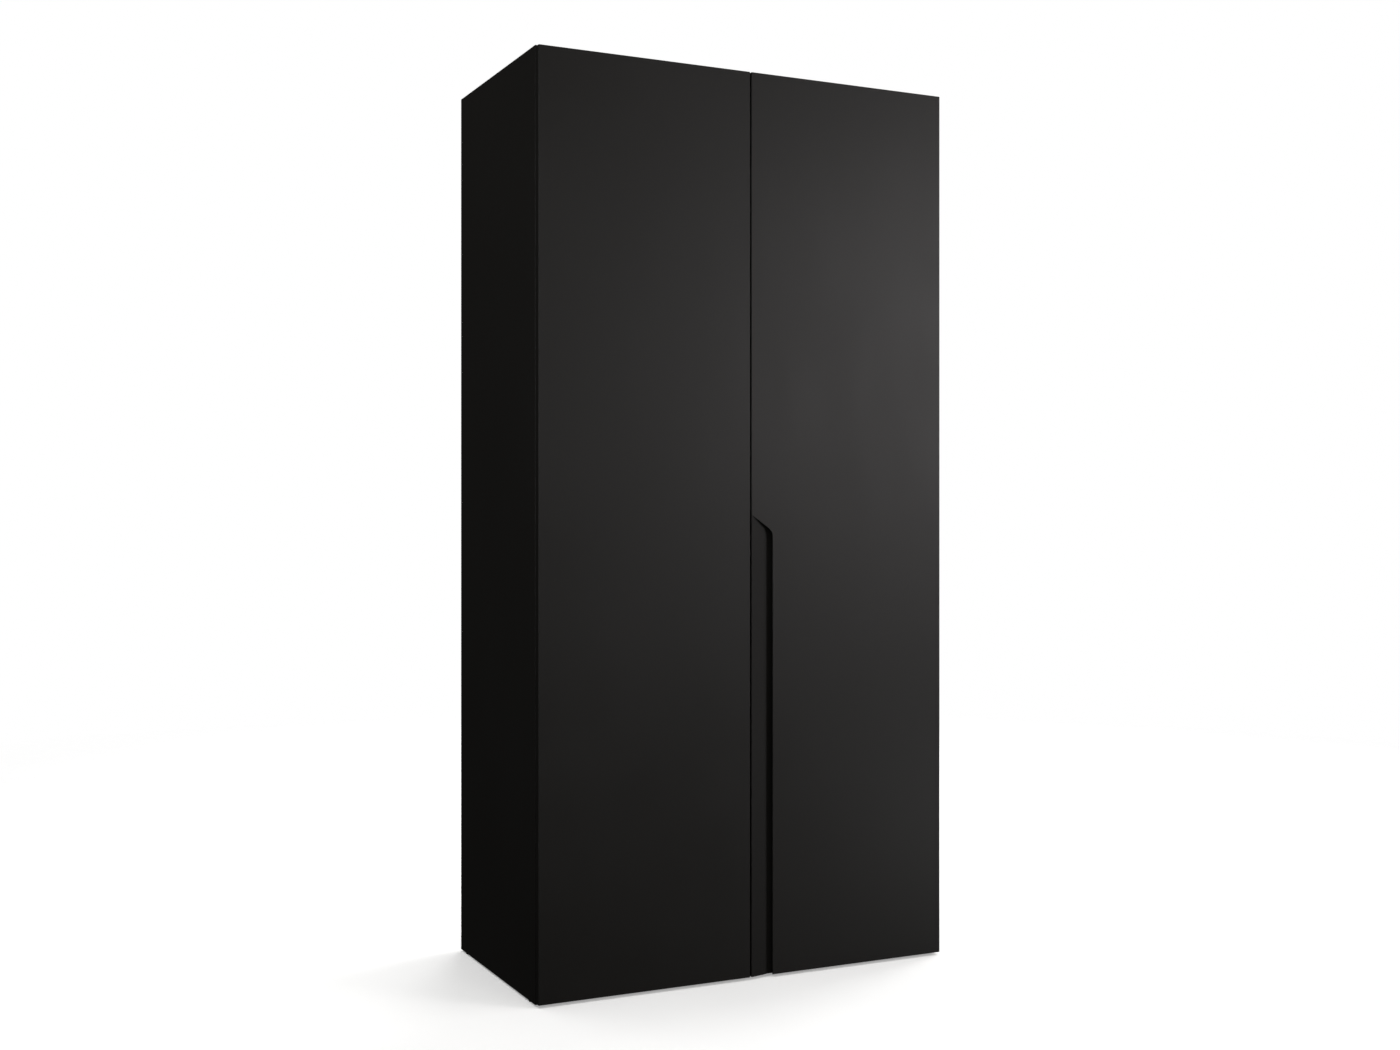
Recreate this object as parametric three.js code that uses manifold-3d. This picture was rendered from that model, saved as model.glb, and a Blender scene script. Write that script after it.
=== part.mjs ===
// Two-door wardrobe in matt black board, with concealed hinges and a milled grip in the right door.
// Millimetres. +X is right, +Y is back, +Z is up; the origin is on the floor under the middle.

import * as THREE from 'three';
import { mergeVertices } from 'three/addons/utils/BufferGeometryUtils.js';
import Module from 'manifold-3d';

const wasm = await Module();
wasm.setup();

// ---------------------------------------------------------------------------------------------
// Driving dimensions

const WIDTH = 1000;
const DEPTH = 525; // door front to the rear edges of the side panels
const BODY_HEIGHT = 2012;
const GLIDE_HEIGHT = 3;
const BOARD = 16; // thickness of every coated board

const DOOR_GAP_BEHIND = 2; // between a closed door and the body
const DOOR_SIDE_INSET = 1;
const DOOR_MIDDLE_GAP = 4;
const DOOR_REVEAL = 3; // body edge showing above and below the doors

const PLINTH_HEIGHT = 60;
const PLINTH_SETBACK = 3;
const BACK_THICKNESS = 3;
const BACK_INSET = 8.5; // rear of the side panels to the rear of the back panels
const BACK_GROOVE_DEPTH = 7.5;
const BACK_GROOVE_PLAY = 0.25;

const SHELF_SETBACK = 20;
const SHELF_PLAY = 1;
const SHELF_UNDERSIDES = [440, 830, 1220, 1610];
const HAT_SHELF_UNDERSIDE = 1610;

const RAIL_HEIGHT_BELOW_SHELF = 52;
const RAIL_TALL = 30;
const RAIL_THICK = 15;
const RAIL_WALL = 1.2;

const HINGE_HEIGHTS = [130, 720, 1310, 1890];
const CUP_RADIUS = 17.5;
const CUP_TO_EDGE = 4.5; // door edge to the cup bore
const CUP_DEPTH = 11.7;
const CUP_WALL = 1.1;
const CUP_SIDES = 20;
const BORE_PLAY = 0.3;

// Hinge points, measured from the body's outer front corner: inwards, then towards the back.
const ARM_PIVOT = [31, -9];
const CUP_PIVOT = [13, -4.4];

const GRIP_WIDTH = 53; // door edge to the grip's upright wall
const GRIP_CORNER_HEIGHT = 993.8; // where the slanted end would meet that wall
const GRIP_SLOPE = 0.69;
const GRIP_CORNER_RADIUS = 25;
const GRIP_EDGE_DEPTH = 0.4; // how deep the ramp starts at the door's edge
const GRIP_RAMP = [33, 7.6]; // width and depth where the straight ramp starts to dip
const GRIP_DIP = [40, 9.75];
const GRIP_FLOOR = [47, 12.6]; // where the dip meets the flat floor
const GRIP_UNDERCUT = 7;
const GRIP_LIP = 3; // thickness of the lip over the undercut

const ARC_STEPS = 6; // straight steps to a small arc
const GRIP_ARC_STEPS = 10;
const PAST = 5; // how far a cutting solid runs out beyond the piece that it cuts

// ---------------------------------------------------------------------------------------------
// Derived places

const HALF_WIDTH = WIDTH / 2;
const BODY_BOTTOM = GLIDE_HEIGHT;
const BODY_TOP = BODY_BOTTOM + BODY_HEIGHT;
const DOOR_FRONT = -DEPTH / 2;
const DOOR_BACK = DOOR_FRONT + BOARD;
const BODY_FRONT = DOOR_BACK + DOOR_GAP_BEHIND;
const BODY_BACK = DEPTH / 2;
const BACK_REAR_FACE = BODY_BACK - BACK_INSET;
const BACK_FRONT_FACE = BACK_REAR_FACE - BACK_THICKNESS;
const INNER_HALF = HALF_WIDTH - BOARD;
const FLOOR_TOP = BODY_BOTTOM + PLINTH_HEIGHT + BOARD;
const CEILING = BODY_TOP - BOARD;
const DOOR_BOTTOM = BODY_BOTTOM + DOOR_REVEAL;
const DOOR_TOP = BODY_TOP - DOOR_REVEAL;
const RAIL_CENTRE = HAT_SHELF_UNDERSIDE - RAIL_HEIGHT_BELOW_SHELF;

const BLACK_BOARD = { color: 0x1c1b1a, roughness: 0.55, metalness: 0 };
const BACK_BOARD = { color: 0x5d4a38, roughness: 0.8, metalness: 0 };
const BLACK_PLASTIC = { color: 0x161616, roughness: 0.6, metalness: 0 };
const NICKEL = { color: 0x9c9a96, roughness: 0.3, metalness: 1 };
const CHROME = { color: 0xc6c8ca, roughness: 0.15, metalness: 1 };

const wardrobe = new THREE.Group();

// ---------------------------------------------------------------------------------------------
// Solids

// A closed solid from any closed three.js geometry, with its shared corners merged.
function solidOf(geometry) {
  const bare = new THREE.BufferGeometry();
  bare.setAttribute('position', geometry.getAttribute('position'));
  bare.setIndex(geometry.getIndex());
  const welded = mergeVertices(bare, 1e-4);
  const corners = welded.getIndex().array;
  const triangles = [];
  for (let i = 0; i < corners.length; i += 3) {
    const [a, b, c] = corners.slice(i, i + 3);
    if (a !== b && b !== c && c !== a) {
      triangles.push(a, b, c);
    }
  }
  const vertProperties = welded.getAttribute('position').array;
  const triVerts = new Uint32Array(triangles);
  return new wasm.Manifold(new wasm.Mesh({ numProp: 3, vertProperties, triVerts }));
}

function geometryOf(solid) {
  const mesh = solid.getMesh();
  const geometry = new THREE.BufferGeometry();
  geometry.setAttribute('position', new THREE.BufferAttribute(mesh.vertProperties, 3));
  geometry.setIndex(new THREE.BufferAttribute(mesh.triVerts, 1));
  geometry.computeVertexNormals();
  return geometry;
}

function addPiece(name, solid, look, place = [0, 0, 0]) {
  const piece = new THREE.Mesh(geometryOf(solid), new THREE.MeshStandardMaterial(look));
  piece.name = name;
  piece.position.set(...place);
  wardrobe.add(piece);
}

function box([x0, x1], [y0, y1], [z0, z1]) {
  const geometry = new THREE.BoxGeometry(x1 - x0, y1 - y0, z1 - z0);
  geometry.translate((x0 + x1) / 2, (y0 + y1) / 2, (z0 + z1) / 2);
  return solidOf(geometry);
}

function polygon(points) {
  return new THREE.Shape(points.map(([x, y]) => new THREE.Vector2(x, y)));
}

// An outline in X and Y, standing from z0 to z1.
function upright(shape, [z0, z1], curveSegments = ARC_STEPS) {
  const geometry = new THREE.ExtrudeGeometry(shape, { depth: z1 - z0, bevelEnabled: false, curveSegments });
  geometry.translate(0, 0, z0);
  return solidOf(geometry);
}

// An outline in Y and Z, running from x0 to x1.
function sideways(shape, [x0, x1], curveSegments = ARC_STEPS) {
  const geometry = new THREE.ExtrudeGeometry(shape, { depth: x1 - x0, bevelEnabled: false, curveSegments });
  const toYZ = new THREE.Matrix4().makeBasis(
    new THREE.Vector3(0, 1, 0),
    new THREE.Vector3(0, 0, 1),
    new THREE.Vector3(1, 0, 0),
  );
  geometry.applyMatrix4(toYZ);
  geometry.translate(x0, 0, 0);
  return solidOf(geometry);
}

// An outline in X and Z, running from y0 back to y1.
function frontways(shape, [y0, y1], curveSegments = ARC_STEPS) {
  const geometry = new THREE.ExtrudeGeometry(shape, { depth: y1 - y0, bevelEnabled: false, curveSegments });
  const toXZ = new THREE.Matrix4().makeBasis(
    new THREE.Vector3(1, 0, 0),
    new THREE.Vector3(0, 0, 1),
    new THREE.Vector3(0, -1, 0),
  );
  geometry.applyMatrix4(toXZ);
  geometry.translate(0, y1, 0);
  return solidOf(geometry);
}

function disc([x, y], radius, [z0, z1], sides) {
  const geometry = new THREE.CylinderGeometry(radius, radius, z1 - z0, sides);
  geometry.rotateX(Math.PI / 2);
  geometry.translate(x, y, (z0 + z1) / 2);
  return solidOf(geometry);
}

// A profile of [radius, y] points turned about the Y axis.
function turned(profile, sides) {
  return solidOf(new THREE.LatheGeometry(profile.map(([r, y]) => new THREE.Vector2(r, y)), sides));
}

// A slot-shaped outline: two half circles joined by straight flanks, longest along Y of the sketch.
function stadium(width, length) {
  const radius = width / 2;
  const reach = length / 2 - radius;
  const shape = new THREE.Shape();
  shape.absarc(0, reach, radius, 0, Math.PI, false);
  shape.absarc(0, -reach, radius, Math.PI, 2 * Math.PI, false);
  return shape;
}

function moved(shape, x, y) {
  const points = shape.getPoints(ARC_STEPS);
  return new THREE.Shape(points.map((point) => new THREE.Vector2(point.x + x, point.y + y)));
}

// ---------------------------------------------------------------------------------------------
// Body: boards, back, plinth and glides

function sidePanel(hand) {
  const outer = [-hand * HALF_WIDTH, -hand * INNER_HALF].sort((a, b) => a - b);
  const groove = [-hand * INNER_HALF, -hand * (INNER_HALF + BACK_GROOVE_DEPTH)].sort((a, b) => a - b);
  const grooveY = [BACK_FRONT_FACE - BACK_GROOVE_PLAY, BACK_REAR_FACE + BACK_GROOVE_PLAY];
  const panel = box(outer, [BODY_FRONT, BODY_BACK], [BODY_BOTTOM, BODY_TOP]);
  return panel.subtract(box(groove, grooveY, [BODY_BOTTOM - 1, BODY_TOP + 1]));
}

function addBody() {
  const between = [-INNER_HALF, INNER_HALF];
  const inside = [BODY_FRONT, BACK_FRONT_FACE];
  addPiece('left_side_panel', sidePanel(1), BLACK_BOARD);
  addPiece('right_side_panel', sidePanel(-1), BLACK_BOARD);
  addPiece('top_panel', box(between, inside, [CEILING, BODY_TOP]), BLACK_BOARD);
  addPiece('bottom_panel', box(between, inside, [FLOOR_TOP - BOARD, FLOOR_TOP]), BLACK_BOARD);
  addPiece('divider_panel', box([-BOARD / 2, BOARD / 2], inside, [FLOOR_TOP, CEILING]), BLACK_BOARD);
}

function addPlinth() {
  const between = [-INNER_HALF, INNER_HALF];
  const height = [BODY_BOTTOM, BODY_BOTTOM + PLINTH_HEIGHT];
  const front = BODY_FRONT + PLINTH_SETBACK;
  const rear = BACK_FRONT_FACE - PLINTH_SETBACK;
  addPiece('plinth_front', box(between, [front, front + BOARD], height), BLACK_BOARD);
  addPiece('plinth_back', box(between, [rear - BOARD, rear], height), BLACK_BOARD);
}

// Two thin back panels in the side panels' grooves; a T-shaped strip covers the seam behind.
function addBack() {
  const reach = INNER_HALF + BACK_GROOVE_DEPTH - 0.5;
  const seam = 1;
  const edgeBelow = 1; // bottom panel's underside to the back's lower edge
  const edgeAbove = 3; // back's upper edge to the top of the body
  const thick = [BACK_FRONT_FACE, BACK_REAR_FACE];
  const height = [FLOOR_TOP - BOARD + edgeBelow, BODY_TOP - edgeAbove];
  addPiece('back_panel_left', box([-reach, -seam], thick, height), BACK_BOARD);
  addPiece('back_panel_right', box([seam, reach], thick, height), BACK_BOARD);

  const stem = 0.7;
  const flange = 10;
  const flangeRear = BACK_REAR_FACE + 1.5;
  const strip = polygon([
    [-stem, BACK_FRONT_FACE],
    [stem, BACK_FRONT_FACE],
    [stem, BACK_REAR_FACE],
    [flange, BACK_REAR_FACE],
    [flange - 1, flangeRear],
    [-flange + 1, flangeRear],
    [-flange, BACK_REAR_FACE],
    [-stem, BACK_REAR_FACE],
  ]);
  addPiece('back_joint_strip', upright(strip, height), BLACK_PLASTIC);
}

function addGlides() {
  const profile = [
    [0, 0],
    [6.3, 0],
    [7.5, 1.2],
    [7.5, GLIDE_HEIGHT],
    [0, GLIDE_HEIGHT],
  ];
  const glide = turned(profile, 16);
  const standUp = new THREE.Matrix4().makeRotationX(Math.PI / 2);
  const standing = solidOf(geometryOf(glide).applyMatrix4(standUp));
  const sideX = HALF_WIDTH - BOARD / 2;
  const sideSetback = 40;
  const plinthFrontY = BODY_FRONT + PLINTH_SETBACK + BOARD / 2;
  const plinthBackY = BACK_FRONT_FACE - PLINTH_SETBACK - BOARD / 2;
  const places = {
    glide_left_front: [-sideX, BODY_FRONT + sideSetback],
    glide_left_back: [-sideX, BODY_BACK - sideSetback],
    glide_right_front: [sideX, BODY_FRONT + sideSetback],
    glide_right_back: [sideX, BODY_BACK - sideSetback],
    glide_plinth_front: [0, plinthFrontY],
    glide_plinth_back: [0, plinthBackY],
  };
  for (const [name, [x, y]] of Object.entries(places)) {
    addPiece(name, standing, BLACK_PLASTIC, [x, y, 0]);
  }
}

// ---------------------------------------------------------------------------------------------
// Inside: shelves, clothes rail and wall brackets

function addShelves() {
  const leftBay = [-INNER_HALF + SHELF_PLAY, -BOARD / 2 - SHELF_PLAY];
  const rightBay = [BOARD / 2 + SHELF_PLAY, INNER_HALF - SHELF_PLAY];
  const run = [BODY_FRONT + SHELF_SETBACK, BACK_FRONT_FACE - SHELF_PLAY];
  SHELF_UNDERSIDES.forEach((z, index) => {
    addPiece(`left_shelf_${index + 1}`, box(leftBay, run, [z, z + BOARD]), BLACK_BOARD);
  });
  const hatHeight = [HAT_SHELF_UNDERSIDE, HAT_SHELF_UNDERSIDE + BOARD];
  addPiece('hat_shelf', box(rightBay, run, hatHeight), BLACK_BOARD);
}

// An oval tube that drops into a cradle, open at the top, on each side of the hanging bay.
function addRail() {
  const plate = 3;
  const cradle = 12;
  const play = 0.3;
  const wall = 2;
  const baseMargin = [12, 20]; // how much wider and taller the base is than the rail
  const bay = [BOARD / 2, INNER_HALF];
  const tube = moved(stadium(RAIL_THICK, RAIL_TALL), 0, RAIL_CENTRE);
  tube.holes.push(moved(stadium(RAIL_THICK - 2 * RAIL_WALL, RAIL_TALL - 2 * RAIL_WALL), 0, RAIL_CENTRE));
  addPiece('clothes_rail', sideways(tube, [bay[0] + plate + play, bay[1] - plate - play]), CHROME);

  const outer = moved(stadium(RAIL_THICK + 2 * (play + wall), RAIL_TALL + 2 * (play + wall)), 0, RAIL_CENTRE);
  const inner = moved(stadium(RAIL_THICK + 2 * play, RAIL_TALL + 2 * play), 0, RAIL_CENTRE);
  const base = moved(stadium(RAIL_THICK + baseMargin[0], RAIL_TALL + baseMargin[1]), 0, RAIL_CENTRE);
  const halfSlot = RAIL_THICK / 2 + play;
  const sockets = {
    rail_socket_left: { base: [bay[0], bay[0] + plate], cup: [bay[0] + plate, bay[0] + plate + cradle] },
    rail_socket_right: { base: [bay[1] - plate, bay[1]], cup: [bay[1] - plate - cradle, bay[1] - plate] },
  };
  for (const [name, span] of Object.entries(sockets)) {
    const slot = box(span.cup, [-halfSlot, halfSlot], [RAIL_CENTRE, RAIL_CENTRE + RAIL_TALL]);
    const cup = sideways(outer, span.cup).subtract(sideways(inner, span.cup)).subtract(slot);
    addPiece(name, sideways(base, span.base).add(cup), CHROME);
  }
}

// Steel angles under the top panel, through which the body is held to the wall.
function addWallBrackets() {
  const leg = 28;
  const steel = 2;
  const halfLength = 17;
  const angle = polygon([
    [BACK_FRONT_FACE - leg, CEILING],
    [BACK_FRONT_FACE - leg, CEILING - steel],
    [BACK_FRONT_FACE - steel, CEILING - steel],
    [BACK_FRONT_FACE - steel, CEILING - leg],
    [BACK_FRONT_FACE, CEILING - leg],
    [BACK_FRONT_FACE, CEILING],
  ]);
  const places = { wall_bracket_left: -HALF_WIDTH / 2, wall_bracket_right: HALF_WIDTH / 2 };
  for (const [name, x] of Object.entries(places)) {
    addPiece(name, sideways(angle, [x - halfLength, x + halfLength]), NICKEL);
  }
}

// ---------------------------------------------------------------------------------------------
// Doors

// The grip seen from the front: open at the door's edge and bottom, slanted and rounded at the top.
function gripOutline(grow) {
  const slant = Math.atan(GRIP_SLOPE);
  const facing = Math.PI / 2 - slant;
  const cornerAngle = Math.PI / 2 + slant;
  const tangent = GRIP_CORNER_RADIUS / Math.tan(cornerAngle / 2);
  const radius = GRIP_CORNER_RADIUS + grow;
  const centre = [GRIP_WIDTH - GRIP_CORNER_RADIUS, GRIP_CORNER_HEIGHT - tangent];
  const arcEnd = [centre[0] + radius * Math.cos(facing), centre[1] + radius * Math.sin(facing)];
  const shape = new THREE.Shape();
  shape.moveTo(-PAST, DOOR_BOTTOM - PAST);
  shape.lineTo(centre[0] + radius, DOOR_BOTTOM - PAST);
  shape.lineTo(centre[0] + radius, centre[1]);
  shape.absarc(centre[0], centre[1], radius, 0, facing, false);
  shape.lineTo(-PAST, arcEnd[1] + (arcEnd[0] + PAST) * GRIP_SLOPE);
  return shape;
}

// The milled grip: a ramp that deepens away from the edge and dips to a floor, undercut behind the lip.
function gripCut() {
  const edge = DOOR_MIDDLE_GAP / 2;
  const rise = (GRIP_RAMP[1] - GRIP_EDGE_DEPTH) / GRIP_RAMP[0];
  const far = GRIP_WIDTH + GRIP_UNDERCUT + PAST;
  const floor = DOOR_FRONT + GRIP_FLOOR[1];
  const ramp = polygon([
    [edge - PAST, DOOR_FRONT - PAST],
    [edge + far, DOOR_FRONT - PAST],
    [edge + far, floor],
    [edge + GRIP_FLOOR[0], floor],
    [edge + GRIP_DIP[0], DOOR_FRONT + GRIP_DIP[1]],
    [edge + GRIP_RAMP[0], DOOR_FRONT + GRIP_RAMP[1]],
    [edge - PAST, DOOR_FRONT + GRIP_EDGE_DEPTH - PAST * rise],
  ]);
  const shift = new THREE.Matrix4().makeTranslation(edge, 0, 0);
  const behindLip = [DOOR_FRONT + GRIP_LIP, floor + PAST];
  const mouth = frontways(gripOutline(0), [DOOR_FRONT - PAST, floor + PAST], GRIP_ARC_STEPS);
  const undercut = frontways(gripOutline(GRIP_UNDERCUT), behindLip, GRIP_ARC_STEPS);
  const whole = solidOf(geometryOf(mouth.add(undercut)).applyMatrix4(shift));
  return whole.intersect(upright(ramp, [DOOR_BOTTOM - 2 * PAST, GRIP_CORNER_HEIGHT + 2 * GRIP_WIDTH]));
}

function doorBoard(hand) {
  const outer = -hand * (HALF_WIDTH - DOOR_SIDE_INSET);
  const inner = -hand * (DOOR_MIDDLE_GAP / 2);
  const width = [outer, inner].sort((a, b) => a - b);
  let board = box(width, [DOOR_FRONT, DOOR_BACK], [DOOR_BOTTOM, DOOR_TOP]);
  const boreX = outer + hand * (CUP_TO_EDGE + CUP_RADIUS);
  const boreRadius = CUP_RADIUS + BORE_PLAY;
  const bottom = -CUP_DEPTH - BORE_PLAY;
  const bore = turned([[0, bottom], [boreRadius, bottom], [boreRadius, 1], [0, 1]], CUP_SIDES);
  for (const z of HINGE_HEIGHTS) {
    const place = new THREE.Matrix4().makeTranslation(boreX, DOOR_BACK, z);
    board = board.subtract(solidOf(geometryOf(bore).applyMatrix4(place)));
  }
  return board;
}

// ---------------------------------------------------------------------------------------------
// Concealed hinges. Outlines are drawn from the body's outer front corner; hand is 1 on the left.

// Cup pressed into the door, with a screw flange on the door's inner face and a notch for the link.
function hingeCup(hand) {
  const flange = 1.2;
  const lip = 0.7; // how far the rim lies over the bore's edge
  const corner = 1.3;
  const wingOutline = moved(stadium(14, 66), hand * 5.5, 0);
  const notchHalfHeight = 6;
  const notchDeep = 3;
  const face = -DOOR_GAP_BEHIND;
  const bottom = face - CUP_DEPTH;
  const inner = CUP_RADIUS - CUP_WALL;
  const centre = DOOR_SIDE_INSET + CUP_TO_EDGE + CUP_RADIUS;
  const cup = turned(
    [
      [0, bottom],
      [CUP_RADIUS - corner, bottom],
      [CUP_RADIUS, bottom + corner],
      [CUP_RADIUS, face],
      [CUP_RADIUS + lip, face],
      [CUP_RADIUS + lip, face + flange],
      [inner, face + flange],
      [inner, bottom + 2],
      [inner - 1.2, bottom + 1],
      [0, bottom + 1],
    ],
    CUP_SIDES,
  );
  const wing = frontways(wingOutline, [face, face + flange]);
  const mouth = turned([[0, face - 3], [inner, face - 3], [inner, face + 3], [0, face + 3]], CUP_SIDES);
  const notchX = [-CUP_RADIUS - 1, -CUP_RADIUS + 4].map((x) => hand * x).sort((a, b) => a - b);
  const notch = box(notchX, [face - notchDeep, face + flange + 1], [-notchHalfHeight, notchHalfHeight]);
  const whole = geometryOf(cup.add(wing.subtract(mouth)).subtract(notch));
  whole.translate(hand * centre, 0, 0);
  return solidOf(whole);
}

// Folded steel arm: a channel that clips over the plate and carries the link's pin in its nose.
function hingeArm(hand) {
  const halfWidth = 7.5;
  const steel = 1.5;
  const nose = 3;
  const pinRadius = 1.5;
  const rearEnd = 64;
  const innerEdge = 19; // the flanges' edge next to the side panel
  const spine = 31; // outside of the channel's web
  const outline = new THREE.Shape();
  outline.moveTo(hand * innerEdge, rearEnd);
  outline.lineTo(hand * spine, rearEnd);
  outline.lineTo(hand * spine, 7);
  outline.lineTo(hand * (spine + nose), -3);
  outline.lineTo(hand * (ARM_PIVOT[0] + nose), ARM_PIVOT[1]);
  const start = hand > 0 ? 0 : Math.PI;
  outline.absarc(hand * ARM_PIVOT[0], ARM_PIVOT[1], nose, start, Math.PI - start, hand > 0);
  outline.lineTo(hand * 27, -1);
  outline.lineTo(hand * 24, 8);
  outline.lineTo(hand * innerEdge, 18);
  // The web ends above the pin, where the nose is open for the link.
  const webInside = spine - steel;
  const webEnd = -4.6;
  const hollow = polygon(
    [
      [0, rearEnd + PAST],
      [webInside, rearEnd + PAST],
      [webInside, 6.7],
      [webInside + nose - 0.1, -3],
      [webInside + nose - 0.1, webEnd],
      [spine + 2 * nose, webEnd],
      [spine + 2 * nose, -20],
      [0, -20],
    ].map(([x, y]) => [hand * x, y]),
  );
  const inside = halfWidth - steel;
  const channel = upright(outline, [-halfWidth, halfWidth]).subtract(upright(hollow, [-inside, inside]));
  const pinHalf = halfWidth - 0.5;
  const pin = disc([hand * ARM_PIVOT[0], ARM_PIVOT[1]], pinRadius, [-pinHalf, pinHalf], 12);
  return channel.add(pin);
}

// Plate screwed to the side panel: two wings, and a rib that the arm sits on.
function hingePlate(hand) {
  const wingShape = moved(stadium(14, 52), 37, 0);
  const wingThickness = 2.5;
  const ribTop = 29.5;
  const ribHalfWidth = 5.5;
  const ribRun = [14, 62];
  const wing = sideways(wingShape, [BOARD, BOARD + wingThickness].map((x) => hand * x).sort((a, b) => a - b));
  const ribX = [BOARD + 1, ribTop].map((x) => hand * x).sort((a, b) => a - b);
  return wing.add(box(ribX, ribRun, [-ribHalfWidth, ribHalfWidth]));
}

// Link between the arm's pin and the cup, with the cup-side pin standing out at both ends.
function hingeLink(hand) {
  const halfThickness = 1.3;
  const width = [-5, 5];
  const eyeRadius = 2.9;
  const eyeHole = 1.7;
  const tipRadius = 1.8;
  const pinRadius = 1.1;
  const pinWidth = [-5.5, 5.5];
  const armEnd = [hand * ARM_PIVOT[0], ARM_PIVOT[1]];
  const cupEnd = [hand * CUP_PIVOT[0], CUP_PIVOT[1]];
  const length = Math.hypot(cupEnd[0] - armEnd[0], cupEnd[1] - armEnd[1]);
  const across = [
    (-(cupEnd[1] - armEnd[1]) / length) * halfThickness,
    ((cupEnd[0] - armEnd[0]) / length) * halfThickness,
  ];
  const bar = polygon([
    [armEnd[0] + across[0], armEnd[1] + across[1]],
    [cupEnd[0] + across[0], cupEnd[1] + across[1]],
    [cupEnd[0] - across[0], cupEnd[1] - across[1]],
    [armEnd[0] - across[0], armEnd[1] - across[1]],
  ]);
  const eye = disc(armEnd, eyeRadius, width, 14);
  const hole = disc(armEnd, eyeHole, pinWidth, 12);
  const tip = disc(cupEnd, tipRadius, width, 12);
  const pin = disc(cupEnd, pinRadius, pinWidth, 10);
  return upright(bar, width).add(eye).add(tip).subtract(hole).add(pin);
}

function addHinges() {
  const sides = { left: 1, right: -1 };
  const makers = {
    hinge_plate: [hingePlate, NICKEL],
    hinge_arm: [hingeArm, NICKEL],
    hinge_link: [hingeLink, NICKEL],
    hinge_cup: [hingeCup, NICKEL],
  };
  for (const [side, hand] of Object.entries(sides)) {
    for (const [kind, [make, look]] of Object.entries(makers)) {
      const solid = make(hand);
      HINGE_HEIGHTS.forEach((z, index) => {
        addPiece(`${side}_${kind}_${index + 1}`, solid, look, [-hand * HALF_WIDTH, BODY_FRONT, z]);
      });
    }
  }
}

addBody();
addPlinth();
addBack();
addGlides();
addShelves();
addRail();
addWallBrackets();
addPiece('left_door', doorBoard(1), BLACK_BOARD);
addPiece('right_door', doorBoard(-1).subtract(gripCut()), BLACK_BOARD);
addHinges();

export default wardrobe;
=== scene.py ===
import math

import bmesh
import bpy
from mathutils import Matrix, Vector


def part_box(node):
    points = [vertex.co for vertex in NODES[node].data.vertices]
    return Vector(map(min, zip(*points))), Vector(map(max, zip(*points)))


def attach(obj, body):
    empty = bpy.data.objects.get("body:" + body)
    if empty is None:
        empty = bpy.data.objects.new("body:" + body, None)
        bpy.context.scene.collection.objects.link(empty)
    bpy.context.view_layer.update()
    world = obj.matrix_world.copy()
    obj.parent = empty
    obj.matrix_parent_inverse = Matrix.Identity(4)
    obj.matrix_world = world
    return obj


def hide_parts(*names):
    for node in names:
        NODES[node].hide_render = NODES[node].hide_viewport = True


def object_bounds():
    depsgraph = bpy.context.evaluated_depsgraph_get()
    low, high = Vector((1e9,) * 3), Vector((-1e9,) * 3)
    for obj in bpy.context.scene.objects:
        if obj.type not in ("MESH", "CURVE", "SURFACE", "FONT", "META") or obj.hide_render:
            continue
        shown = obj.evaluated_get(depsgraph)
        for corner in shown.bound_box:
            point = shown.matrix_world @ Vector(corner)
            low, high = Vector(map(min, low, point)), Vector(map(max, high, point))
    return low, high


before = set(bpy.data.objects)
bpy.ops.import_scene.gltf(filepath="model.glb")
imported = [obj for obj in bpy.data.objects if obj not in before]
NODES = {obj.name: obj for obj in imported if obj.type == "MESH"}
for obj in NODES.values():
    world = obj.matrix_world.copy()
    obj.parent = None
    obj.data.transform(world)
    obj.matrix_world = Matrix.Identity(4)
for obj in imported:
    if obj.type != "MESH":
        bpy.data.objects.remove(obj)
cad_low, cad_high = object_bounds()

MM = 0.001

# Body and door places, all read from the frame
body_low, body_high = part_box("left_side_panel")
door_low, door_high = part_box("left_door")
top_low, top_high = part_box("top_panel")
floor_low, floor_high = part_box("bottom_panel")
divider_low, divider_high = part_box("divider_panel")
back_low, back_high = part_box("back_panel_left")

SIDES = {"left": 1, "right": -1}
SHELVES = {"left": ["left_shelf_1", "left_shelf_2", "left_shelf_3", "left_shelf_4"], "right": ["hat_shelf"]}


# ---------------------------------------------------------------------------------------------
# Material nodes


def set_range(ramp, *numbers):
    """Sets a Map Range node: from low, from high, to low, to high."""
    for socket, number in zip(("From Min", "From Max", "To Min", "To Max"), numbers):
        ramp.inputs[socket].default_value = number


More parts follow.
